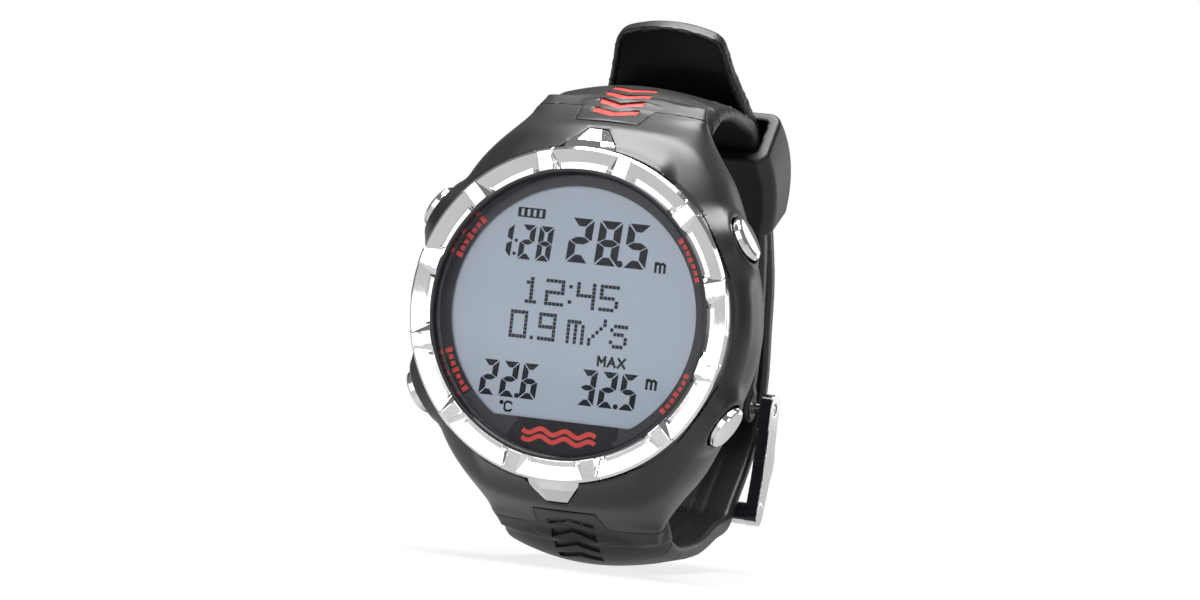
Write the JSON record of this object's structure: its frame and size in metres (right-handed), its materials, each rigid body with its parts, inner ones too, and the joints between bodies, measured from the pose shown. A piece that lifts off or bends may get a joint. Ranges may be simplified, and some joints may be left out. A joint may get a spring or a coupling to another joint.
{
  "type": "wrist dive computer",
  "caption": "Wrist dive computer with a round domed case, notched chrome bezel, side pushers, digital display and a buckled rubber strap closed in a loop.",
  "frame": {"origin": "centre of the flat outer face of the case back, which rests on the wrist", "axes": "+X towards three o'clock, +Z towards twelve o'clock, -Y out of the display towards the reader, +Y into the wrist loop"},
  "size_m": [0.0482, 0.0589, 0.0762],
  "materials": {
    "case_polymer": "satin moulded polymer, charcoal",
    "bright_chrome": "polished chrome plating",
    "black_gloss": "gloss black",
    "lens_glass": "clear mineral glass",
    "black_rubber": "matt black rubber",
    "mask_print": "dark blue-grey print",
    "display_glass": "pale blue-grey display",
    "white_plastic": "white plastic",
    "board_green": "green lacquered board",
    "small_parts": "small board parts",
    "gold_contact": "gilt contact",
    "tray_plastic": "black moulded plastic",
    "steel": "plain stainless steel",
    "brushed_back": "circular-brushed stainless steel",
    "strap_rubber": "satin moulded strap rubber",
    "keeper_rubber": "soft black rubber",
    "polished_steel": "polished steel"
  },
  "bodies": {
    "watch": {"case_body": "case_polymer", "bezel": "bright_chrome", "lens_ring": "black_gloss", "lens": "lens_glass", "lens_gasket": "black_rubber", "display_mask": "mask_print", "lcd_front_glass": "display_glass", "lcd_rear_glass": "display_glass", "backlight_panel": "white_plastic", "display_holder": "white_plastic", "contact_strips": "black_rubber", "circuit_board": "board_green", "processor": "black_gloss", "board_parts": "small_parts", "switch_contacts": "gold_contact", "battery_tray": "tray_plastic", "battery": "steel", "battery_clip": "gold_contact", "buzzer": "gold_contact", "pressure_sensor": "steel", "sensor_seal": "black_rubber", "sensor_grille": "steel", "case_back": "brushed_back", "case_back_seal": "black_rubber", "case_back_screws": "steel", "pusher_tubes": "steel", "strap_upper": "strap_rubber", "strap_lower": "strap_rubber", "spring_bar_upper": "steel", "spring_bar_lower": "steel", "buckle_pin": "steel", "pusher_spring_upper_right": "steel", "pusher_spring_lower_right": "steel", "pusher_spring_lower_left": "steel", "pusher_spring_upper_left": "steel"},
    "pusher_upper_right": {"pusher_upper_right": "bright_chrome", "pusher_seal_upper_right": "black_rubber", "pusher_clip_upper_right": "steel"},
    "pusher_lower_right": {"pusher_lower_right": "bright_chrome", "pusher_seal_lower_right": "black_rubber", "pusher_clip_lower_right": "steel"},
    "pusher_lower_left": {"pusher_lower_left": "bright_chrome", "pusher_seal_lower_left": "black_rubber", "pusher_clip_lower_left": "steel"},
    "pusher_upper_left": {"pusher_upper_left": "bright_chrome", "pusher_seal_upper_left": "black_rubber", "pusher_clip_upper_left": "steel"},
    "buckle_frame": {"buckle_frame": "polished_steel"},
    "buckle_tongue": {"buckle_tongue": "polished_steel"},
    "strap_keeper": {"strap_keeper": "keeper_rubber"}
  },
  "joints": [
    {"name": "press_upper_right", "type": "slide", "parent": "watch", "child": "pusher_upper_right", "axis": [-0.866, 0, -0.5], "range_m": [0, 0.001], "stiffness_N_per_m": 2000, "springref_m": -0.0005, "deforming": ["pusher_spring_upper_right"]},
    {"name": "press_lower_right", "type": "slide", "parent": "watch", "child": "pusher_lower_right", "axis": [-0.866, 0, 0.5], "range_m": [0, 0.001], "stiffness_N_per_m": 2000, "springref_m": -0.0005, "deforming": ["pusher_spring_lower_right"]},
    {"name": "press_lower_left", "type": "slide", "parent": "watch", "child": "pusher_lower_left", "axis": [0.866, 0, 0.5], "range_m": [0, 0.001], "stiffness_N_per_m": 2000, "springref_m": -0.0005, "deforming": ["pusher_spring_lower_left"]},
    {"name": "press_upper_left", "type": "slide", "parent": "watch", "child": "pusher_upper_left", "axis": [0.866, 0, -0.5], "range_m": [0, 0.001], "stiffness_N_per_m": 2000, "springref_m": -0.0005, "deforming": ["pusher_spring_upper_left"]},
    {"name": "buckle_hinge", "type": "hinge", "parent": "watch", "child": "buckle_frame", "pos_m": [0, 0.03758, -0.01049], "axis": [1, 0, 0], "range_deg": [0, 25]},
    {"name": "tongue_hinge", "type": "hinge", "parent": "buckle_frame", "child": "buckle_tongue", "pos_m": [0, 0.03758, -0.01049], "axis": [1, 0, 0], "range_deg": [0, 20]},
    {"name": "keeper_slide", "type": "hinge", "parent": "watch", "child": "strap_keeper", "pos_m": [0, -0.0025, -0.004], "axis": [1, 0, 0], "range_deg": [-15, 1]}
  ]
}
